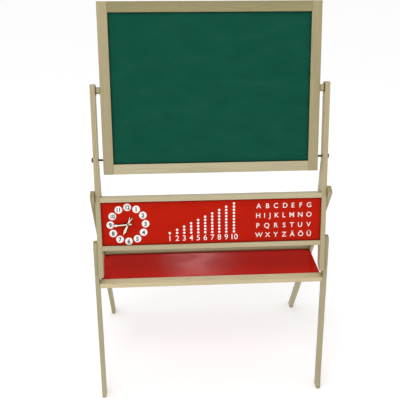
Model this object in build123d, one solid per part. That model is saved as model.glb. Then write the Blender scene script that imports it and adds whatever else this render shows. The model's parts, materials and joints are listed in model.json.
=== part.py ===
from build123d import *
import math
import os

# Kids easel. Millimetres, +Z up, +X to the right as seen from the front, +Y to the back.
# The origin is on the floor under the centre of the easel's bounding box.

# ---- Driving dimensions ----
BOARD_W = 600.0            # swivelling board, outer width
BOARD_H = 459.0            # swivelling board, outer height
BOARD_LEAN = 14.0          # backward lean of the uprights and the board, degrees
FRONT_LEAN = 9.0           # backward lean of the front legs, degrees
REAR_LEAN = 27.5           # forward lean of the rear legs, degrees
SLAT_W = 28.0              # width of every slat
SLAT_T = 14.0              # thickness of uprights, rails and board frame
LEG_T = 12.0               # thickness of the legs
EDGE_R = 1.6               # rounding on the long edges of every slat
PIVOT_GAP = 12.5           # space between the board and each upright
LEG_GAP = 0.4              # space between an upright and a leg
RUN_GAP = 0.05             # radial clearance of a running fit
LOOSE_GAP = 0.1            # radial clearance of a screw in its hole

# ---- Side view, measured back from the front foot and up from the floor ----
PIVOT_Y, PIVOT_Z = 193.1, 910.0          # board pivot, on the uprights' centre line
FOLD_Y, FOLD_Z = 122.9, 609.0            # rear leg pivot
TRAY_Y, TRAY_Z = 73.5, 368.5             # tray pivot, centre of the tray's front rail
FRONT_LEG_TOP = 501.0                    # height of the front legs
REAR_LEG_TOP = 38.0                      # rear legs above their pivot, along the leg
BLOCK_TOP, BLOCK_LOW = 705.0, 582.0      # heights of the pivot blocks behind the uprights

# ---- Heights along the uprights, from the board pivot ----
UPRIGHT_TOP = 17.0
UPRIGHT_LOW = -526.0
INFO_TOP = -293.0          # top face of the learning panel's top rail
INFO_LOW = -447.0          # bottom face of its bottom rail
LOCK_S = -189.0            # lock screws

# ---- Panels ----
PANEL_T = 3.0              # hardboard
GROOVE_DEEP = 6.0          # panels sit this deep in their rails
GROOVE_GAP = 0.15          # space around a panel in its groove
INFO_RECESS = 4.0          # learning panel behind the front of its rails
TRAY_RECESS = 5.0          # tray panel below the top of its rails

# ---- Tray ----
TRAY_DEPTH = 200.7         # over both rails
RAIL_END_GAP = 0.5         # space between a tray rail's end and a leg
PEG_R = 3.0                # catch peg
PEG_LONG = 12.0            # catch peg, length that stands out of the leg
PEG_Z = 364.9              # height of the catch pegs
SLOT_LEAN = 23.0           # slope of the catch slots, degrees from vertical
SLOT_GAP = 0.7             # space around a peg in its slot

# ---- Hardware ----
BOLT_R = 3.0               # pivot bolts and lock screws
BOLT_HEAD_R = 6.0          # their heads, let in flush with the wood
FOLD_HEAD_T = 3.6          # flat heads of the rear legs' pivot bolts
FOLD_HEAD_GAP = 0.4        # space around those heads
BUSH_R = 4.5               # brass bushings and threaded inserts
SCREW_R = 2.0              # wood screws
SCREW_HEAD_R = 4.0
SPACER_R = 9.5             # fluted wooden spacers
FLUTES = 12
WASHER_R = 13.0            # broad washers between the spacers and the uprights
WASHER_T = 1.5
KNOB_R = 7.5               # lock screw knobs
KNOB_T = 5.5
DOWEL_R = 3.0
DOWEL_LONG = 32.0

# ---- Clock ----
CLOCK_X, CLOCK_S = -238.0, -371.5         # centre, across and along the uprights
HOUR_TIP, HOUR_TAIL = 33.5, 21.5
MINUTE_TIP, MINUTE_TAIL = 43.5, 10.5
HEAD_LONG = 11.0           # arrow heads of the hands
HEAD_HALF = 3.6
SHAFT_HALF = 1.5
HAND_T = 1.5
HAND_GAP = 0.4             # space between the hands and what is beside them
HOUR_ANGLE = 205.0         # degrees clockwise from twelve
MINUTE_ANGLE = 266.0
PIN_R = 1.5
HUB_R = 4.0

# ---- Worked out ----
UPRIGHT_IN = BOARD_W / 2 + PIVOT_GAP
UPRIGHT_OUT = UPRIGHT_IN + SLAT_T
LEG_IN = UPRIGHT_OUT + LEG_GAP
LEG_OUT = LEG_IN + LEG_T
HALF = SLAT_W / 2
REAR_FOOT_Y = FOLD_Y + FOLD_Z * math.tan(math.radians(REAR_LEAN))
DEPTH = REAR_FOOT_Y + HALF / math.cos(math.radians(REAR_LEAN))
CENTRE_Y = DEPTH / 2


def side_frame(y, z, lean):
    """Frame on a leaning slat's centre line: X across, Y rearward through it, Z up along it."""
    return Pos(0, y - CENTRE_Y, z) * Rot(X=-lean)


UPRIGHT = side_frame(PIVOT_Y, PIVOT_Z, BOARD_LEAN)
FRONT_LEG = side_frame(HALF / math.cos(math.radians(FRONT_LEAN)), 0, FRONT_LEAN)
REAR_LEG = side_frame(FOLD_Y, FOLD_Z, -REAR_LEAN)
TRAY = side_frame(TRAY_Y, TRAY_Z, 0)


def slab(x, y, z):
    """Box between the low and high ends given for X, Y and Z."""
    size = (x[1] - x[0], y[1] - y[0], z[1] - z[0])
    middle = ((x[0] + x[1]) / 2, (y[0] + y[1]) / 2, (z[0] + z[1]) / 2)
    return Pos(*middle) * Box(*size)


def softened(solid, axis, radius=EDGE_R):
    """The solid with its edges along one axis rounded."""
    return fillet(solid.edges().filter_by(axis), radius)


def rod(radius, start, length):
    """Cylinder along X, from start towards +X, or towards -X when length is negative."""
    middle = start + length / 2
    return Pos(middle, 0, 0) * Rot(Y=90) * Cylinder(radius, abs(length))


def both(right):
    """A right-hand solid and its mirror image, as one group."""
    return Compound(children=[right, right.mirror(Plane.YZ)])


def save(name, shape):
    export_step(shape, "parts/" + name + ".step")


def save_pair(name, right):
    """A right-hand piece and its mirror image, each in its own node."""
    save("right_" + name, right)
    save("left_" + name, right.mirror(Plane.YZ))


def countersunk(outer_x, shank_r, head_r, length, gap=0.0):
    """Countersunk screw pointing to -X, with its head flush with outer_x."""
    cone = Pos(outer_x - head_r / 2, 0, 0) * Rot(Y=90) * Cone(shank_r + gap, head_r + gap, head_r)
    return cone + rod(shank_r + gap, outer_x - head_r / 2, head_r / 2 - length - gap)


# ---- Places of the hardware on the side view, as frames with X across ----
def on_upright(s, depth=0.0):
    return UPRIGHT * Pos(0, depth, s)


def at_height(y, z):
    return Pos(0, y - CENTRE_Y, z)


def front_leg_centre(z):
    return HALF / math.cos(math.radians(FRONT_LEAN)) + z * math.tan(math.radians(FRONT_LEAN))


def upright_centre(z):
    return PIVOT_Y + (z - PIVOT_Z) * math.tan(math.radians(BOARD_LEAN))


RAIL_S = (INFO_TOP - SLAT_T / 2, INFO_LOW + SLAT_T / 2)
RAIL_SCREWS = [on_upright(RAIL_S[0], -2.5), on_upright(RAIL_S[0], 7.0)]
LONG_SCREW = on_upright(RAIL_S[1])
LEG_SCREW_Z = 424.0
LEG_SCREW = at_height((front_leg_centre(LEG_SCREW_Z) + upright_centre(LEG_SCREW_Z)) / 2, LEG_SCREW_Z)
FOLD = at_height(FOLD_Y, FOLD_Z)
PEG_Y = FOLD_Y + (FOLD_Z - PEG_Z) * math.tan(math.radians(REAR_LEAN))
PEG = at_height(PEG_Y, PEG_Z)


# ---- Stand ----
def upright():
    """Right upright, with its holes; the rear corner of its lower end is fully rounded."""
    body = slab((UPRIGHT_IN, UPRIGHT_OUT), (-HALF, HALF), (UPRIGHT_LOW, UPRIGHT_TOP))
    ends = body.edges().filter_by(Axis.X).sort_by(Axis.Z)
    low = ends[:2].sort_by(Axis.Y)
    body = fillet(low[-1:], 26.0)
    ends = body.edges().filter_by(Axis.X).sort_by(Axis.Z)
    body = fillet([ends[0], ends[-1], ends[-2]], 5.0)
    body = softened(body, Axis.Z)
    body = UPRIGHT * body
    body -= on_upright(0) * countersunk(UPRIGHT_OUT, BOLT_R, BOLT_HEAD_R, 40.0, LOOSE_GAP)
    body -= on_upright(LOCK_S) * rod(BUSH_R, UPRIGHT_IN - 1, SLAT_T + 2)
    body -= LEG_SCREW * rod(SCREW_R + LOOSE_GAP, UPRIGHT_IN + 2.5, SLAT_T)
    body -= LONG_SCREW * rod(SCREW_R + LOOSE_GAP, UPRIGHT_IN - 1, SLAT_T + 2)
    for place in RAIL_SCREWS:
        body -= place * countersunk(UPRIGHT_OUT, SCREW_R, SCREW_HEAD_R, 30.0, LOOSE_GAP)
    body -= FOLD * rod(BUSH_R, UPRIGHT_IN + 1.5, SLAT_T)
    return body


def pivot_block():
    """Right tapered block glued behind the upright, with a vertical rear face."""
    lean = math.tan(math.radians(BOARD_LEAN))
    back = HALF / math.cos(math.radians(BOARD_LEAN))
    top_y = upright_centre(BLOCK_TOP) + back
    low_y = top_y - (BLOCK_TOP - BLOCK_LOW) * lean
    outline = Polyline((top_y, BLOCK_TOP), (top_y, BLOCK_LOW), (low_y, BLOCK_LOW), close=True)
    outline = Pos(0, -CENTRE_Y, 0) * Plane.YZ.location * make_face(outline)
    body = Pos(UPRIGHT_IN, 0, 0) * extrude(outline, amount=SLAT_T, dir=(1, 0, 0))
    corner = body.edges().filter_by(Axis.X).sort_by(Axis.Z)[:2].sort_by(Axis.Y)[-1:]
    return fillet(corner, 6.0)


def front_leg():
    """Right front leg, cut flat on the floor and rounded at the top."""
    top = FRONT_LEG_TOP / math.cos(math.radians(FRONT_LEAN))
    body = slab((LEG_IN, LEG_OUT), (-HALF, HALF), (-20, top))
    ends = body.edges().filter_by(Axis.X).sort_by(Axis.Z)[-2:]
    body = softened(fillet(ends, 13.8), Axis.Z)
    body = FRONT_LEG * body
    body &= slab((0, 2 * LEG_OUT), (-DEPTH, DEPTH), (0, PIVOT_Z))
    for place in (LEG_SCREW, LONG_SCREW):
        body -= place * countersunk(LEG_OUT, SCREW_R, SCREW_HEAD_R, 60.0, LOOSE_GAP)
    body -= TRAY * countersunk(LEG_OUT, BOLT_R, BOLT_HEAD_R, LEG_T + 1, LOOSE_GAP)
    return body


def info_rail(s, screw_places):
    """Learning panel rail, centred at s on the uprights, with its panel groove and screw holes."""
    long = UPRIGHT_IN
    body = softened(slab((-long, long), (-HALF, HALF), (s - SLAT_T / 2, s + SLAT_T / 2)), Axis.X)
    middle = (INFO_TOP + INFO_LOW) / 2
    mouth = s + math.copysign(SLAT_T / 2, middle - s)
    end = mouth + math.copysign(GROOVE_DEEP + GROOVE_GAP, s - middle)
    front = -HALF + INFO_RECESS
    low, high = sorted((mouth + math.copysign(1, middle - s), end))
    body -= slab((-long, long), (front - GROOVE_GAP, front + PANEL_T + GROOVE_GAP), (low, high))
    body = UPRIGHT * body
    for place in screw_places:
        hole = place * rod(SCREW_R + LOOSE_GAP, long - 20, 22)
        body -= hole
        body -= hole.mirror(Plane.YZ)
    return body


def info_panel():
    """Red hardboard learning panel, with the clock's pin hole."""
    front = -HALF + INFO_RECESS
    half = UPRIGHT_IN - 0.3
    low = INFO_LOW + SLAT_T - GROOVE_DEEP
    high = INFO_TOP - SLAT_T + GROOVE_DEEP
    body = slab((-half, half), (front, front + PANEL_T), (low, high))
    body -= Pos(CLOCK_X, front, CLOCK_S) * Rot(X=90) * Cylinder(PIN_R + LOOSE_GAP, 10)
    return UPRIGHT * body


# ---- Swivelling board ----
BOARD_RAIL_S = BOARD_H / 2 - SLAT_W / 2
DOWEL_SPOTS = [side * (BOARD_RAIL_S + shift) for side in (-1, 1) for shift in (-4.0, 7.0)]
BOARD_GROOVE = PANEL_T + GROOVE_GAP


def board_groove(x, z):
    return slab(x, (-BOARD_GROOVE, BOARD_GROOVE), z)


def board_stile():
    """Right stile, full height, with panel groove, dowel holes and bushing hole."""
    inner = BOARD_W / 2 - SLAT_W
    body = slab((inner, BOARD_W / 2), (-SLAT_T / 2, SLAT_T / 2), (-BOARD_H / 2, BOARD_H / 2))
    body = softened(body, Axis.Z)
    reach = BOARD_H / 2 - SLAT_W + GROOVE_DEEP
    body -= board_groove((inner - 1, inner + GROOVE_DEEP), (-reach, reach))
    for s in DOWEL_SPOTS:
        body -= Pos(0, 0, s) * rod(DOWEL_R, inner - 1, DOWEL_LONG / 2 + 1.5)
    body -= rod(BUSH_R, BOARD_W / 2 - 16, 20)
    return UPRIGHT * body


def board_rail(side):
    """Top (+1) or bottom (-1) rail between the stiles."""
    end = BOARD_W / 2 - SLAT_W
    low, high = sorted((side * BOARD_H / 2, side * (BOARD_H / 2 - SLAT_W)))
    body = softened(slab((-end, end), (-SLAT_T / 2, SLAT_T / 2), (low, high)), Axis.X)
    mouth = side * (BOARD_H / 2 - SLAT_W - 1)
    floor = side * (BOARD_H / 2 - SLAT_W + GROOVE_DEEP)
    body -= board_groove((-end, end), sorted((mouth, floor)))
    for s in DOWEL_SPOTS:
        if s * side > 0:
            hole = Pos(0, 0, s) * rod(DOWEL_R, end + 1, -DOWEL_LONG / 2 - 1.5)
            body -= hole
            body -= hole.mirror(Plane.YZ)
    return UPRIGHT * body


def board_panel(side):
    """Hardboard sheet on the front (-1) or back (+1) half of the board's groove."""
    half_w = BOARD_W / 2 - SLAT_W + GROOVE_DEEP - 0.3
    half_h = BOARD_H / 2 - SLAT_W + GROOVE_DEEP - 0.3
    depth = sorted((side * 0.02, side * PANEL_T))
    return UPRIGHT * slab((-half_w, half_w), depth, (-half_h, half_h))


def board_dowels():
    pieces = []
    for s in DOWEL_SPOTS:
        dowel = rod(DOWEL_R - 0.02, BOARD_W / 2 - SLAT_W - DOWEL_LONG / 2, DOWEL_LONG)
        pieces += [UPRIGHT * Pos(0, 0, s) * dowel, UPRIGHT * Pos(0, 0, s) * dowel.mirror(Plane.YZ)]
    return Compound(children=pieces)


def board_bushing():
    """Right brass bushing in the stile, flush with the stile's outer edge."""
    body = rod(BUSH_R, BOARD_W / 2 - 16, 16)
    body -= rod(BOLT_R + RUN_GAP, BOARD_W / 2 - 16 - 1, 18)
    return UPRIGHT * body


def pivot_bolt():
    """Right board pivot bolt, countersunk in the upright, running in the stile's bushing."""
    return UPRIGHT * countersunk(UPRIGHT_OUT, BOLT_R, BOLT_HEAD_R, SLAT_T + PIVOT_GAP + 14.5)


def pivot_spacer():
    """Right wooden spacer between board and washer, fluted along its length."""
    start = BOARD_W / 2 + 0.3
    long = PIVOT_GAP - WASHER_T - 0.3
    body = rod(SPACER_R, start, long)
    body = fillet(body.edges(), 0.8)
    for step in range(FLUTES):
        body -= Rot(X=step * 360 / FLUTES) * Pos(0, 0, SPACER_R + 0.4) * rod(1.2, start - 1, long + 2)
    body -= rod(BOLT_R + LOOSE_GAP, start - 1, long + 2)
    return UPRIGHT * body


def pivot_washer():
    start = UPRIGHT_IN - WASHER_T
    body = fillet(rod(WASHER_R, start, WASHER_T).edges(), 0.4)
    return UPRIGHT * (body - rod(BOLT_R + LOOSE_GAP, start - 1, WASHER_T + 2))


# ---- Lock screws ----
def lock_insert():
    """Right threaded insert through the upright."""
    body = rod(BUSH_R, UPRIGHT_IN + 0.2, SLAT_T - 0.2)
    body -= rod(BOLT_R + RUN_GAP, UPRIGHT_IN - 1, SLAT_T + 2)
    return on_upright(LOCK_S) * body


def lock_screw():
    """Right lock screw: its tip stands just off the board's stile, with a flat point."""
    tip = BOARD_W / 2 + 0.35
    body = rod(BOLT_R, tip, UPRIGHT_OUT + 1.5 - tip)
    body = chamfer(body.faces().sort_by(Axis.X)[0].edges(), 0.8)
    return on_upright(LOCK_S) * body


def lock_knob():
    """Right domed knob on the lock screw."""
    start = UPRIGHT_OUT + 0.4
    body = rod(KNOB_R, start, KNOB_T)
    body = fillet(body.edges().sort_by(Axis.X)[-1], 4.2)
    body = fillet(body.edges().sort_by(Axis.X)[0], 0.8)
    body -= rod(BOLT_R + 0.02, start - 1, UPRIGHT_OUT + 1.52 - start + 1)
    return on_upright(LOCK_S) * body


# ---- Rear legs ----
def rear_leg():
    """Right rear leg, cut level at the floor and square at its top, with its bolt's head sunk in it."""
    body = slab((LEG_IN, LEG_OUT), (-HALF, HALF), (-FOLD_Z * 1.3, REAR_LEG_TOP))
    top = body.edges().filter_by(Axis.X).sort_by(Axis.Z)[-2:]
    body = softened(fillet(top, 5.0), Axis.Z)
    body = REAR_LEG * body
    body &= slab((0, 2 * LEG_OUT), (-2 * DEPTH, 2 * DEPTH), (0, PIVOT_Z))
    body -= FOLD * rod(BOLT_R + RUN_GAP, LEG_IN - 1, LEG_T + 2)
    body -= FOLD * rod(BOLT_HEAD_R + FOLD_HEAD_GAP, LEG_OUT + 1, -1 - FOLD_HEAD_T - FOLD_HEAD_GAP)
    body -= PEG * rod(PEG_R, LEG_IN - 1, 10)
    return body


def catch_peg():
    """Right catch peg: a pin pressed into the leg's inner face, with a rounded end."""
    body = rod(PEG_R, LEG_IN - PEG_LONG, PEG_LONG + 9)
    body = fillet(body.edges().sort_by(Axis.X)[0], 1.0)
    return PEG * body


def fold_bolt():
    """Right rear leg pivot bolt, with a flat head flush with the leg."""
    body = rod(BOLT_R, UPRIGHT_IN + 2, LEG_OUT - 1 - UPRIGHT_IN - 2)
    head = rod(BOLT_HEAD_R, LEG_OUT - FOLD_HEAD_T, FOLD_HEAD_T)
    return FOLD * (body + chamfer(head.edges().sort_by(Axis.X)[-1], 0.5))


def fold_insert():
    """Right insert in the upright that takes the rear leg's pivot bolt."""
    body = rod(BUSH_R, UPRIGHT_IN + 1.5, SLAT_T - 1.5)
    body -= rod(BOLT_R + 0.02, UPRIGHT_IN + 1.9, SLAT_T)
    return FOLD * body


# ---- Tray ----
RAIL_LONG = LEG_IN - RAIL_END_GAP
RAIL_TOP = SLAT_T / 2
PANEL_TOP = RAIL_TOP - TRAY_RECESS


def tray_groove(front, back):
    """Cut for the tray panel between two depths."""
    z = (PANEL_TOP - PANEL_T - GROOVE_GAP, PANEL_TOP + GROOVE_GAP)
    return slab((-RAIL_LONG - 1, RAIL_LONG + 1), (front, back), z)


def tray_rail(middle):
    """Tray rail laid flat, centred at a depth behind the tray pivot."""
    body = slab((-RAIL_LONG, RAIL_LONG), (middle - HALF, middle + HALF), (-RAIL_TOP, RAIL_TOP))
    return softened(body, Axis.X)


def tray_front_rail():
    body = tray_rail(0)
    body -= tray_groove(HALF - GROOVE_DEEP, HALF + 1)
    hole = rod(BOLT_R + RUN_GAP, RAIL_LONG - 20, 22)
    body -= hole
    body -= hole.mirror(Plane.YZ)
    return TRAY * body


REAR_RAIL = TRAY_DEPTH - SLAT_W


def tray_rear_rail():
    """Rear rail, with a sloping slot in each end that drops over a catch peg."""
    body = tray_rail(REAR_RAIL)
    body -= tray_groove(REAR_RAIL - HALF - 1, REAR_RAIL - HALF + GROOVE_DEEP)
    body = TRAY * body
    slot_r = PEG_R + SLOT_GAP
    start = LEG_IN - PEG_LONG - 1.5
    long = PEG_LONG + 3
    slot = rod(slot_r, start, long)
    slot += Pos(start + long / 2, 0, -15) * Box(long, 2 * slot_r, 30)
    slot = PEG * Rot(X=-SLOT_LEAN) * slot
    body -= slot
    body -= slot.mirror(Plane.YZ)
    return body


def tray_panel():
    """Red tray panel, let into both rails."""
    y = (HALF - GROOVE_DEEP + 0.3, REAR_RAIL - HALF + GROOVE_DEEP - 0.3)
    return TRAY * slab((-RAIL_LONG, RAIL_LONG), y, (PANEL_TOP - PANEL_T, PANEL_TOP))


def tray_pivot_screw():
    """Right tray pivot screw: countersunk in the front leg, running in the rail's end."""
    return TRAY * countersunk(LEG_OUT, BOLT_R, BOLT_HEAD_R, LEG_OUT - RAIL_LONG + 18)


# ---- Clock ----
CLOCK = UPRIGHT * Pos(CLOCK_X, -HALF + INFO_RECESS, CLOCK_S) * Rot(X=90)


def disc(radius, low, high):
    """Disc in the clock's frame, whose Z points forward out of the panel."""
    return Pos(0, 0, (low + high) / 2) * Cylinder(radius, high - low)


HOUR_LOW = 0.5 + HAND_GAP
MINUTE_LOW = HOUR_LOW + HAND_T + HAND_GAP
CAP_LOW = MINUTE_LOW + HAND_T + HAND_GAP


def plate(points):
    """Flat plate of the hands' thickness, from one half of its outline, from tail to tip."""
    other = [(-x, y) for x, y in reversed(points) if x]
    return extrude(make_face(Polyline(*points, *other, close=True)), amount=HAND_T)


def on_dial(body, angle, low):
    """A hand with its hub and hole, turned clockwise from twelve and lifted off the panel."""
    body += disc(HUB_R, 0, HAND_T)
    body -= disc(PIN_R + RUN_GAP, -1, HAND_T + 1)
    return CLOCK * Rot(Z=-angle) * Pos(0, 0, low) * body


def hour_hand():
    """Leaf-shaped hand with a forked tail."""
    fork = HEAD_HALF + 0.8
    points = [(0, -9), (fork - 1.5, -HOUR_TAIL), (fork, -HOUR_TAIL), (SHAFT_HALF, -2)]
    points += [(HEAD_HALF, HOUR_TIP - HEAD_LONG), (0, HOUR_TIP)]
    return on_dial(plate(points), HOUR_ANGLE, HOUR_LOW)


def minute_hand():
    """Arrow-shaped hand with a short tail."""
    neck = MINUTE_TIP - HEAD_LONG
    points = [(SHAFT_HALF, -MINUTE_TAIL), (SHAFT_HALF, neck - 2), (HEAD_HALF, neck), (0, MINUTE_TIP)]
    return on_dial(plate(points), MINUTE_ANGLE, MINUTE_LOW)


def clock_pin():
    """Rivet through the panel, with a flat back head."""
    back = -PANEL_T - 1.0
    return CLOCK * (disc(PIN_R, back, CAP_LOW + 1) + disc(HUB_R, back, -PANEL_T))


def clock_washer():
    return CLOCK * (disc(HUB_R, 0, 0.5) - disc(PIN_R + 0.02, -1, 1))


def clock_cap():
    """Domed cap pressed on the pin in front of the hands."""
    cap = disc(HUB_R - 0.4, CAP_LOW, CAP_LOW + 2)
    cap = fillet(cap.edges().sort_by(SortBy.LENGTH)[-2:], 0.9)
    return CLOCK * (cap - disc(PIN_R + 0.02, CAP_LOW - 1, CAP_LOW + 1.02))


def screws(places, outer_x, length):
    """Countersunk wood screws at each place, on both sides."""
    pieces = []
    for place in places:
        screw = place * countersunk(outer_x, SCREW_R, SCREW_HEAD_R, length)
        pieces += [screw, screw.mirror(Plane.YZ)]
    return Compound(children=pieces)


def main():
    os.makedirs("parts", exist_ok=True)
    save_pair("upright", upright())
    save_pair("pivot_block", pivot_block())
    save_pair("front_leg", front_leg())
    save("info_top_rail", info_rail(RAIL_S[0], RAIL_SCREWS))
    save("info_bottom_rail", info_rail(RAIL_S[1], [LONG_SCREW]))
    save("info_panel", info_panel())
    save("info_rail_screws", screws(RAIL_SCREWS, UPRIGHT_OUT, 29.5))
    save("leg_screws", screws([LEG_SCREW], LEG_OUT, 23.0))
    save("long_leg_screws", screws([LONG_SCREW], LEG_OUT, 44.0))
    save_pair("board_stile", board_stile())
    save("board_top_rail", board_rail(1))
    save("board_bottom_rail", board_rail(-1))
    save("chalk_panel", board_panel(-1))
    save("marker_panel", board_panel(1))
    save("board_dowels", board_dowels())
    save("board_bushings", both(board_bushing()))
    save("pivot_bolts", both(pivot_bolt()))
    save("pivot_spacers", both(pivot_spacer()))
    save("pivot_washers", both(pivot_washer()))
    save("lock_inserts", both(lock_insert()))
    save_pair("lock_screw", lock_screw())
    save_pair("lock_knob", lock_knob())
    save_pair("rear_leg", rear_leg())
    save_pair("catch_peg", catch_peg())
    save("fold_bolts", both(fold_bolt()))
    save("fold_inserts", both(fold_insert()))
    save("tray_front_rail", tray_front_rail())
    save("tray_rear_rail", tray_rear_rail())
    save("tray_panel", tray_panel())
    save("tray_pivot_screws", both(tray_pivot_screw()))
    save("clock_pin", clock_pin())
    save("clock_washer", clock_washer())
    save("clock_cap", clock_cap())
    save("hour_hand", hour_hand())
    save("minute_hand", minute_hand())


main()
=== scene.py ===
import json
import math

import bmesh
import bpy
from mathutils import Matrix, Vector


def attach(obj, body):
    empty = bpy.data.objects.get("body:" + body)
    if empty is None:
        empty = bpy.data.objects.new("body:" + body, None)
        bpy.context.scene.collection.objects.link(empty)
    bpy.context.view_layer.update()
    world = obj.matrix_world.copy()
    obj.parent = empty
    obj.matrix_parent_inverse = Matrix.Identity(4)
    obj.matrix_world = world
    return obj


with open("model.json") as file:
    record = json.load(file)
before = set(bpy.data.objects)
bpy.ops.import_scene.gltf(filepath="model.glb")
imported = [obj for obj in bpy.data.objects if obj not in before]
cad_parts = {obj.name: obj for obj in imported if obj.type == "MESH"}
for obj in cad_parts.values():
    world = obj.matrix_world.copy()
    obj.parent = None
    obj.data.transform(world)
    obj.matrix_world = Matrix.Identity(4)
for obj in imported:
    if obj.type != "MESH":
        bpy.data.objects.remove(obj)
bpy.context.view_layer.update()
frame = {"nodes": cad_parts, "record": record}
record = frame["record"]
JOINTS = {j["name"]: j for j in record["behaviour"]["joints"]}
MM = 0.001

# ---- Leans of the slats from upright, in degrees: the board's is read from the clock's hinge ----
PANEL_IN = Vector(JOINTS["hour_hand_turn"]["axis"])     # points into the learning panel
BOARD_LEAN = math.degrees(math.atan2(-PANEL_IN.z, PANEL_IN.y))
FRONT_LEAN = 9.0
REAR_LEAN = 27.5


# ---- Node helpers ----
class Nodes:
    """Short calls for building one material's node tree."""

    def __init__(self, name):
        self.mat = bpy.data.materials.new(name)
        self.mat.use_nodes = True
        self.tree = self.mat.node_tree
        self.bsdf = self.tree.nodes["Principled BSDF"]

    def add(self, kind, inputs=None, **props):
        node = self.tree.nodes.new(kind)
        for key, value in props.items():
            setattr(node, key, value)
        for key, value in (inputs or {}).items():
            self.put(node.inputs[key], value)
        return node

    def put(self, socket, value):
        if isinstance(value, bpy.types.NodeSocket):
            self.tree.links.new(value, socket)
        else:
            socket.default_value = value

    def maths(self, op, a, b=0.0):
        return self.add("ShaderNodeMath", {0: a, 1: b}, operation=op).outputs[0]

    def plus(self, a, b):
        return self.maths("ADD", a, b)

    def times(self, a, b):
        return self.maths("MULTIPLY", a, b)

    def split(self, vector):
        return self.add("ShaderNodeSeparateXYZ", {0: vector}).outputs

    def moved(self, vector, **how):
        """The vector through a mapping node: Location, Rotation or Scale."""
        return self.add("ShaderNodeMapping", {"Vector": vector, **how}).outputs[0]

    def noise(self, vector, scale, detail=3.0, rough=0.55, distortion=0.0):
        """Noise between 0 and 1; scale is its waves per millimetre along each axis."""
        inputs = {
            "Vector": self.moved(vector, Scale=scale),
            "Scale": 1.0,
            "Detail": detail,
            "Roughness": rough,
            "Distortion": distortion,
        }
        return self.add("ShaderNodeTexNoise", inputs).outputs["Fac"]

    def even_noise(self, vector, scale, *more):
        return self.noise(vector, (scale, scale, scale), *more)

    def ramp(self, value, low, high, out_low=0.0, out_high=1.0, kind="SMOOTHSTEP"):
        """The value taken from low-high to out_low-out_high, and held at both ends."""
        inputs = {
            "Value": value,
            "From Min": low,
            "From Max": high,
            "To Min": out_low,
            "To Max": out_high,
        }
        return self.add("ShaderNodeMapRange", inputs, interpolation_type=kind).outputs[0]

    def mix(self, factor, a, b, blend="MIX"):
        node = self.add("ShaderNodeMix", data_type="RGBA", blend_type=blend)
        self.put(node.inputs[0], factor)
        self.put(node.inputs[6], a)
        self.put(node.inputs[7], b)
        return node.outputs[2]

    def bump(self, height, strength, distance):
        inputs = {"Height": height, "Strength": strength, "Distance": distance}
        self.put(self.bsdf.inputs["Normal"], self.add("ShaderNodeBump", inputs).outputs[0])

    def cornered(self, colour, dark, strength, reach=0.012, shut_at=0.35, open_at=0.95):
        """The colour, darker in inside corners as painted shade; reach is how far off a wall counts, in
        metres.
        """
        # Painted shade: the more nearby parts close in around a point, the darker its colour
        air = self.add("ShaderNodeAmbientOcclusion", {"Distance": reach}, samples=8, only_local=False)
        shut = self.ramp(air.outputs["AO"], shut_at, open_at, strength, 0.0, "LINEAR")
        return self.mix(shut, colour, dark)

    def set(self, **sockets):
        for key, value in sockets.items():
            self.put(self.bsdf.inputs[key.replace("_", " ")], value)


def rgb(r, g, b):
    """sRGB 0-255 to a linear colour."""
    levels = [c / 255 for c in (r, g, b)]
    return (*[((c + 0.055) / 1.055) ** 2.4 if c > 0.04045 else c / 12.92 for c in levels], 1.0)


SEED_STEP = (37.3, 91.7, 211.9)      # mm from one slat's stretch of grain to the next


def object_mm(n, lean=0.0, along="Z", seed=0):
    """The place in millimetres and the surface normal, both turned so that Z runs along the slat."""
    coord = n.add("ShaderNodeTexCoord").outputs
    turn = (math.radians(lean), 0.0, 0.0)
    place = n.moved(coord["Object"], Rotation=turn)
    face = n.moved(coord["Normal"], Rotation=turn)
    if along == "X":
        turn = (0.0, math.radians(90), 0.0)
        place = n.moved(place, Rotation=turn)
        face = n.moved(face, Rotation=turn)
    shift = [step * seed for step in SEED_STEP]
    return n.moved(place, Scale=(1000, 1000, 1000), Location=shift), face


# ---- Materials ----
WOOD = rgb(190, 180, 147)
WOOD_DARK = rgb(164, 150, 112)
WOOD_FLECK = rgb(138, 120, 82)
WOOD_END = rgb(166, 152, 116)
WOOD_END_PORE = rgb(132, 114, 78)
# Painted shade for the wood's inside corners
WOOD_CORNER_SHADE = rgb(120, 106, 70)
SWAY_MM = 46.0             # how far the growth rings wander over the length of a slat
WOBBLE_MM = 3.2            # how far they waver over a few centimetres
RING_PHASE = 1.15          # radians of a ring's cycle in a millimetre
SIDE_RINGS = 0.55          # how fast the rings pass on a side face, against a front face


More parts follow.
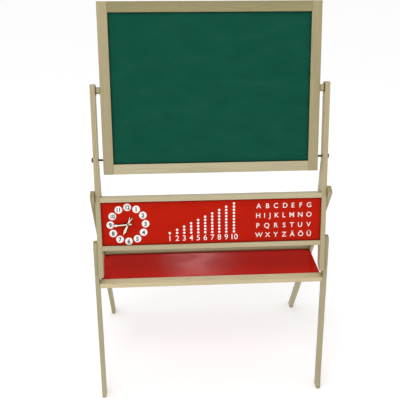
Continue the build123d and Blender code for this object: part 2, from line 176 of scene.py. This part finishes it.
def wood(name, lean=0.0, along="Z", seed=1, tone_and_shading=(1.0, 1.0, 1.0)):
    """Pale hardwood under satin lacquer, grain along the slat; each piece's tone mixes its own wood with
    painted light and shade.
    """
    n = Nodes(name)
    q, face = object_mm(n, lean, along, seed)
    # Growth rings: bands along the slat that sway and waver
    axis = n.split(q)
    sway = n.noise(q, (0.018, 0.018, 0.0035), 2.0)
    across = n.plus(axis[0], n.times(axis[1], SIDE_RINGS))
    ring = n.plus(across, n.times(sway, SWAY_MM))
    wobble = n.noise(q, (0.12, 0.12, 0.012), 3.0)
    ring = n.plus(ring, n.times(wobble, WOBBLE_MM))
    ring = n.maths("SINE", n.times(ring, RING_PHASE))
    ring = n.ramp(ring, 0.1, 1.0)
    # Fine fibres, broad changes of tone, and short dark flecks
    fibre = n.noise(q, (1.1, 1.1, 0.022), 6.0, 0.62)
    fibre = n.ramp(fibre, 0.32, 0.7)
    broad = n.ramp(n.noise(q, (0.02, 0.02, 0.0028), 2.0), 0.3, 0.7)
    fleck = n.ramp(n.noise(q, (1.9, 1.9, 0.16), 2.0, 0.5), 0.66, 0.74)

    colour = n.mix(n.times(ring, 0.42), WOOD, WOOD_DARK)
    colour = n.mix(n.times(fibre, 0.32), colour, WOOD_DARK)
    colour = n.mix(n.times(fleck, 0.34), colour, WOOD_FLECK)
    shade = n.ramp(broad, 0.0, 1.0, 0.865, 0.965)
    # The piece's tint: partly its own wood's tone, partly painted light and shade
    shades = [n.times(shade, part) for part in tone_and_shading]
    shade_rgb = n.add("ShaderNodeCombineColor", dict(enumerate(shades))).outputs[0]
    colour = n.mix(1.0, colour, shade_rgb, "MULTIPLY")

    # End grain, wherever the surface looks along the slat
    end = n.maths("ABSOLUTE", n.split(face)[2])
    end = n.ramp(end, 0.72, 0.86)
    pores = n.even_noise(q, 1.6, 4.0, 0.6)
    end_colour = n.mix(n.ramp(pores, 0.35, 0.65), WOOD_END, WOOD_END_PORE)
    colour = n.mix(n.times(end, 0.75), colour, end_colour)
    # Painted shade in inside corners, where other parts stand close
    n.set(Base_Color=n.cornered(colour, WOOD_CORNER_SHADE, 0.55))

    rough = n.plus(0.40, n.times(fibre, 0.16))
    rough = n.plus(rough, n.times(end, 0.2))
    n.set(Roughness=rough, Coat_Weight=0.05, Coat_Roughness=0.3, Specular_IOR_Level=0.35)
    n.bump(n.plus(n.times(fibre, 0.7), n.times(fleck, -0.6)), 0.35, 0.00018)
    return n.mat


CHALK_DUST = rgb(205, 215, 208)


def painted(name, colour, deep, rough, grain=0.5, relief=0.15, coat=0.0, smear=0.0, shine=0.3):
    """Paint or lacquer on hardboard: slight orange peel, faint cloudiness, rubbed patches and painted
    shadow in inside corners.
    """
    n = Nodes(name)
    q, _ = object_mm(n, BOARD_LEAN)
    cloud = n.ramp(n.noise(q, (0.012, 0.012, 0.02), 4.0), 0.3, 0.7)
    peel = n.even_noise(q, grain, 4.0, 0.6)
    mixed = n.mix(n.times(cloud, 0.6), colour, deep)
    mixed = n.mix(n.ramp(peel, 0.35, 0.7, 0.0, 0.25), mixed, deep)
    if smear:
        wipe = n.ramp(n.noise(q, (0.012, 0.02, 0.03), 5.0, 0.6, 0.8), 0.45, 0.85)
        mixed = n.mix(n.times(wipe, smear), mixed, CHALK_DUST)
    # Painted shadow in inside corners, such as along a panel's edges where its frame stands over it
    shadow = (*[0.12 * part for part in deep[:3]], 1.0)
    n.set(Base_Color=n.cornered(mixed, shadow, 0.9, reach=0.024, shut_at=0.6, open_at=0.98))
    n.set(Roughness=n.ramp(cloud, 0.0, 1.0, rough - 0.05, rough + 0.07))
    n.set(Coat_Weight=coat, Coat_Roughness=0.18, Specular_IOR_Level=shine)
    n.bump(peel, relief, 0.0002)
    return n.mat


def metal(name, colour, deep, rough):
    """Plated metal with turning marks and dull patches."""
    n = Nodes(name)
    q, _ = object_mm(n)
    fine = n.noise(q, (6.0, 0.8, 0.8), 4.0, 0.6)
    patch = n.even_noise(q, 0.25)
    n.set(Base_Color=n.mix(n.ramp(patch, 0.3, 0.7), colour, deep), Metallic=1.0)
    n.set(Roughness=n.ramp(fine, 0.3, 0.7, rough - 0.08, rough + 0.1), Anisotropic=0.3)
    n.bump(fine, 0.12, 0.0001)
    return n.mat


def plastic(name, colour, deep, rough, coat=0.0):
    """Moulded plastic with a fine texture and handling marks."""
    n = Nodes(name)
    q, _ = object_mm(n)
    mottle = n.ramp(n.even_noise(q, 0.35), 0.3, 0.7)
    grain = n.even_noise(q, 3.0)
    n.set(Base_Color=n.mix(mottle, colour, deep))
    n.set(Roughness=n.ramp(grain, 0.3, 0.7, rough - 0.06, rough + 0.08))
    n.set(Coat_Weight=coat, Coat_Roughness=0.15)
    n.bump(grain, 0.08, 0.0001)
    return n.mat


GREEN = painted("chalk_green", rgb(17, 78, 61), rgb(14, 71, 55), 0.85, 1.2, 0.3, smear=0.008, shine=0.04)
WHITE = painted("marker_white", rgb(236, 236, 232), rgb(224, 225, 222), 0.22, 0.2, 0.04, coat=0.5)
RED = painted("panel_red", rgb(184, 28, 8), rgb(168, 22, 6), 0.55, 0.35, 0.12, shine=0.04)
TRAY_RED = painted("tray_red", rgb(193, 26, 9), rgb(174, 20, 7), 0.18, 0.4, 0.08, shine=0.04)
INK = painted("print_white", rgb(246, 240, 236), rgb(232, 224, 220), 0.45, 2.0, 0.08)
NUMERAL = painted("print_dark", rgb(52, 64, 62), rgb(40, 50, 48), 0.45, 2.0, 0.08)
STEEL = metal("zinc_steel", rgb(168, 168, 170), rgb(138, 138, 142), 0.34)
# Brass darkened as painted shade, for the pivot washers that sit in the uprights' shade
SHADED_BRASS = metal("brass_in_shade", rgb(126, 108, 66), rgb(96, 80, 48), 0.42)
DARK_STEEL = metal("burnished_steel", rgb(88, 80, 72), rgb(60, 54, 50), 0.4)
BRASS = metal("turned_brass", rgb(205, 170, 96), rgb(176, 140, 74), 0.3)
KNOB = plastic("knob_brown", rgb(108, 76, 58), rgb(80, 54, 42), 0.35, coat=0.3)
CREAM = plastic("hand_cream", rgb(252, 238, 220), rgb(240, 218, 192), 0.36, coat=0.2)
OLIVE = plastic("hub_olive", rgb(128, 128, 84), rgb(98, 100, 62), 0.35, coat=0.3)

# Wood tints are partly each piece's own tone and partly painted light and shade: darker tints paint
# shade on a piece, lighter ones light
LOOKS = {
    "left_upright": wood("wood_left_upright", BOARD_LEAN, seed=1, tone_and_shading=(0.97, 0.94, 0.87)),
    "right_upright": wood("wood_right_upright", BOARD_LEAN, seed=2, tone_and_shading=(0.97, 0.92, 0.84)),
    "left_pivot_block": wood("wood_left_block", BOARD_LEAN, seed=3),
    "right_pivot_block": wood("wood_right_block", BOARD_LEAN, seed=4),
    "left_front_leg": wood("wood_left_front_leg", FRONT_LEAN, seed=5, tone_and_shading=(0.88, 0.90, 0.86)),
    "right_front_leg": wood("wood_right_front_leg", FRONT_LEAN, seed=6, tone_and_shading=(0.80, 0.81, 0.75)),
    "left_rear_leg": wood("wood_left_rear_leg", -REAR_LEAN, seed=7, tone_and_shading=(0.80, 0.79, 0.68)),
    "right_rear_leg": wood("wood_right_rear_leg", -REAR_LEAN, seed=8, tone_and_shading=(0.88, 0.87, 0.82)),
    "left_board_stile": wood("wood_left_stile", BOARD_LEAN, seed=9, tone_and_shading=(0.87, 0.83, 0.76)),
    "right_board_stile": wood("wood_right_stile", BOARD_LEAN, seed=10, tone_and_shading=(0.78, 0.75, 0.65)),
    "board_top_rail": wood("wood_board_top", BOARD_LEAN, "X", 11, (0.62, 0.61, 0.47)),
    "board_bottom_rail": wood("wood_board_bottom", BOARD_LEAN, "X", 12),
    "info_top_rail": wood("wood_info_top", BOARD_LEAN, "X", 13, (1.04, 1.03, 1.03)),
    "info_bottom_rail": wood("wood_info_bottom", BOARD_LEAN, "X", 14, (1.02, 0.99, 0.96)),
    "tray_front_rail": wood("wood_tray_front", 0.0, "X", 15, (1.25, 1.18, 1.12)),
    "tray_rear_rail": wood("wood_tray_rear", 0.0, "X", 16, (0.80, 0.72, 0.58)),
    "pivot_spacers": wood("wood_spacers", 0.0, "X", 17, (0.97, 0.95, 0.88)),
    "board_dowels": wood("wood_dowels", 0.0, "X", 18, (0.95, 0.95, 0.95)),
    "chalk_panel": GREEN,
    "marker_panel": WHITE,
    "info_panel": RED,
    "tray_panel": TRAY_RED,
    "pivot_washers": SHADED_BRASS,
    "left_lock_screw": DARK_STEEL,
    "right_lock_screw": DARK_STEEL,
    "left_lock_knob": KNOB,
    "right_lock_knob": KNOB,
    "hour_hand": CREAM,
    "minute_hand": CREAM,
    "clock_cap": OLIVE,
    "board_bushings": BRASS,
    "lock_inserts": BRASS,
    "fold_inserts": BRASS,
}
for node, part in frame["nodes"].items():
    part.data.materials.clear()
    part.data.materials.append(LOOKS.get(node, STEEL))

# ---- Prints on the learning panel ----
CLOCK = Vector(JOINTS["hour_hand_turn"]["pos_m"])
PANEL_RIGHT = Vector((1.0, 0.0, 0.0))
PANEL_UP = Vector((0.0, -PANEL_IN.z, PANEL_IN.y))
PRINT_LOW = 0.00003        # m off the panel, so that no face lies in the panel's own
PRINT_THICK = 0.00007
PRINT_GAP = 0.00002        # m between the white spots and the figures on them
RIM_SHARE = 0.99           # a spot's top radius, as a share of its bottom radius
CAP_SHARE = 0.729          # the letter font's capital height, as a share of its size


def axes(place, x, y, z):
    """A frame at a place, with those three directions as its own."""
    turn = Matrix((x, y, z)).transposed().to_4x4()
    return Matrix.Translation(place) @ turn


PANEL = axes(CLOCK, PANEL_RIGHT, PANEL_UP, -PANEL_IN)


def panel_mesh(name, signs):
    """One mesh from (place, builder) pairs, each place in the panel's frame."""
    whole = bmesh.new()
    for place, build in signs:
        part = bmesh.new()
        build(part)
        bmesh.ops.transform(part, matrix=PANEL @ place, verts=part.verts)
        scratch = bpy.data.meshes.new("scratch")
        part.to_mesh(scratch)
        part.free()
        whole.from_mesh(scratch)
        bpy.data.meshes.remove(scratch)
    mesh = bpy.data.meshes.new(name)
    whole.to_mesh(mesh)
    whole.free()
    return mesh


def disc(radius, sides=40):
    """A printed spot of that radius in millimetres, centred, its rim slightly bevelled."""
    def build(part):
        sizes = {"radius1": radius * MM, "radius2": radius * MM * RIM_SHARE, "depth": PRINT_THICK}
        made = bmesh.ops.create_cone(part, cap_ends=True, segments=sides, **sizes)
        bmesh.ops.translate(part, vec=(0, 0, PRINT_THICK / 2), verts=made["verts"])
    return build


def glyph(text, cap, weight, squeeze=1.0):
    """A printed sign of that cap height, centred, its strokes thicker by weight on each side (mm)."""
    def build(part):
        curve = bpy.data.curves.new("glyph", "FONT")
        curve.body = text
        curve.size = cap * MM / CAP_SHARE
        curve.align_x = "CENTER"
        curve.offset = weight * MM
        curve.extrude = PRINT_THICK / 2
        curve.resolution_u = 5
        holder = bpy.data.objects.new("glyph", curve)
        mesh = bpy.data.meshes.new_from_object(holder)
        part.from_mesh(mesh)
        bmesh.ops.remove_doubles(part, verts=part.verts, dist=1e-7)
        bmesh.ops.translate(part, vec=(0, -cap * MM / 2, PRINT_THICK / 2), verts=part.verts)
        bmesh.ops.scale(part, vec=(squeeze, 1, 1), verts=part.verts)
        bpy.data.objects.remove(holder)
        bpy.data.curves.remove(curve)
        bpy.data.meshes.remove(mesh)
    return build


def at(x, y, layer=0):
    """Place on the panel, in millimetres right of and above the clock's centre."""
    return Matrix.Translation((x * MM, y * MM, PRINT_LOW + layer * (PRINT_THICK + PRINT_GAP)))


# Millimetres; places are right of and above the clock's centre
DIAL_R = 49.4
DIAL_TILT = 0.8            # degrees, against the clock
SPOT_R = 10.7
HOUR_CAP = 12.0
HOUR_WEIGHT = 0.5
HOUR_SQUEEZE = 0.86        # two figures side by side are narrower
DOT_R = 3.45
DOT_LOW = -28.8
DOT_STEP = 9.1
COUNT_CAP = 16.5
COUNT_WEIGHT = 0.1
COUNT_Y = -43.5
COUNT_X = (117, 138, 158, 178, 198, 218, 238, 258, 278, 300)
LETTER_CAP = 14.5
LETTER_WEIGHT = 0.18
# Each row's letters, its height, and where each letter stands: the print isn't quite even
LETTER_ROWS = (
    ("ABCDEFG", 44.5, (370.7, 395.7, 419.8, 446.4, 468.6, 490.9, 515.2)),
    ("HIJKLMNO", 16.5, (369.4, 387.8, 403.5, 422.0, 443.0, 466.0, 490.5, 515.5)),
    ("PQRSTUV", -13.0, (368.2, 394.2, 420.2, 444.4, 466.8, 490.4, 515.2)),
    ("WXYZÄÖÜ", -40.5, (371.8, 397.0, 420.2, 444.8, 468.4, 492.8, 516.6)),
)


def print_on_panel(name, signs, ink):
    """The signs as one piece of ink that rides on the stand, over the learning panel."""
    mesh = panel_mesh(name, signs)
    obj = bpy.data.objects.new(name, mesh)
    bpy.context.scene.collection.objects.link(obj)
    mesh.materials.append(ink)
    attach(obj, "stand")


dial = []
hours = []
for hour in range(1, 13):
    angle = math.radians(30 * hour - DIAL_TILT)
    x, y = DIAL_R * math.sin(angle), DIAL_R * math.cos(angle)
    dial.append((at(x, y), disc(SPOT_R)))
    squeeze = HOUR_SQUEEZE if hour > 9 else 1.0
    hours.append((at(x, y, layer=1), glyph(str(hour), HOUR_CAP, HOUR_WEIGHT, squeeze)))
print_on_panel("print_dial", dial, INK)
print_on_panel("print_hours", hours, NUMERAL)

counts = []
dots = []
for count, x in enumerate(COUNT_X, 1):
    counts.append((at(x, COUNT_Y), glyph(str(count), COUNT_CAP, COUNT_WEIGHT)))
    dots += [(at(x, DOT_LOW + DOT_STEP * row), disc(DOT_R, sides=24)) for row in range(count)]
print_on_panel("print_counts", counts, INK)
print_on_panel("print_dots", dots, INK)

letters = []
for signs, y, places in LETTER_ROWS:
    letters += [(at(x, y), glyph(sign, LETTER_CAP, LETTER_WEIGHT)) for sign, x in zip(signs, places)]
print_on_panel("print_letters", letters, INK)

# ---- Floor ----
FLOOR_HALF = 30.0
FLOOR_GLOW = 0.19          # lifts the floor to the photo's white


def floor_material():
    """Matt near-white paper with a broad faint mottle."""
    n = Nodes("floor")
    q, _ = object_mm(n)
    mottle = n.even_noise(q, 0.004)
    n.set(Base_Color=n.mix(mottle, rgb(250, 250, 250), rgb(246, 246, 246)))
    n.set(Roughness=0.85, Emission_Color=(1.0, 1.0, 1.0, 1.0), Emission_Strength=FLOOR_GLOW)
    return n.mat


corners = [(FLOOR_HALF * x, FLOOR_HALF * y, 0) for x, y in ((-1, -1), (1, -1), (1, 1), (-1, 1))]
floor_mesh = bpy.data.meshes.new("floor")
floor_mesh.from_pydata(corners, [], [(0, 1, 2, 3)])
floor = bpy.data.objects.new("floor", floor_mesh)
bpy.context.scene.collection.objects.link(floor)
floor_mesh.materials.append(floor_material())

# ---- Light ----
SKY_LEVEL = 0.76
SKY_SLOPE = (-0.20, -0.22, 0.12)     # the sky is brighter to the left, the front and the top


def studio_sky():
    """A white world whose level slopes gently from one side to the other."""
    world = bpy.data.worlds.new("studio")
    world.use_nodes = True
    nodes, links = world.node_tree.nodes, world.node_tree.links
    sky = nodes["Background"]
    sky.inputs["Color"].default_value = (1.0, 1.0, 1.0, 1.0)
    direction = nodes.new("ShaderNodeTexCoord")
    facing = nodes.new("ShaderNodeVectorMath")
    facing.operation = "DOT_PRODUCT"
    facing.inputs[1].default_value = SKY_SLOPE
    level = nodes.new("ShaderNodeMath")
    level.inputs[1].default_value = SKY_LEVEL
    links.new(direction.outputs["Generated"], facing.inputs[0])
    links.new(facing.outputs["Value"], level.inputs[0])
    links.new(level.outputs[0], sky.inputs["Strength"])
    return world


def area_light(name, place, target, size, power):
    """A square soft light of that size in metres and power in watts, unseen by the camera."""
    light = bpy.data.lights.new(name, "AREA")
    light.size = size
    light.energy = power
    obj = bpy.data.objects.new(name, light)
    obj.location = place
    obj.rotation_euler = (Vector(target) - Vector(place)).to_track_quat("-Z", "Y").to_euler()
    obj.visible_camera = False
    bpy.context.scene.collection.objects.link(obj)


bpy.context.scene.world = studio_sky()
area_light("key", place=(-0.5, -1.8, 3.5), target=(0, 0, 0.6), size=1.2, power=22)
area_light("back", place=(0.11, 2.5, 1.87), target=(-0.04, -0.04, 0.37), size=0.4, power=4.5)

# ---- Camera: the photo's, as fitted to the corners of the board, the panel, the tray and the feet ----
CAMERA_PLACE = Vector((-0.13092, -1.63159, 1.36220))
YAW, PITCH, ROLL = math.radians(3.663), math.radians(26.224), math.radians(0.239)
LENS_MM = 54.06
SENSOR_MM = 36.0

look = Vector((math.sin(YAW) * math.cos(PITCH), math.cos(YAW) * math.cos(PITCH), -math.sin(PITCH)))
level_right = Vector((math.cos(YAW), -math.sin(YAW), 0.0))
level_up = level_right.cross(look)
right = math.cos(ROLL) * level_right + math.sin(ROLL) * level_up
up = math.cos(ROLL) * level_up - math.sin(ROLL) * level_right
camera = bpy.data.objects.new("camera", bpy.data.cameras.new("camera"))
camera.data.lens = LENS_MM
camera.data.sensor_width = SENSOR_MM
camera.matrix_world = axes(CAMERA_PLACE, right, up, -look)
bpy.context.scene.collection.objects.link(camera)
bpy.context.scene.camera = camera
bpy.context.scene.view_settings.view_transform = "Standard"
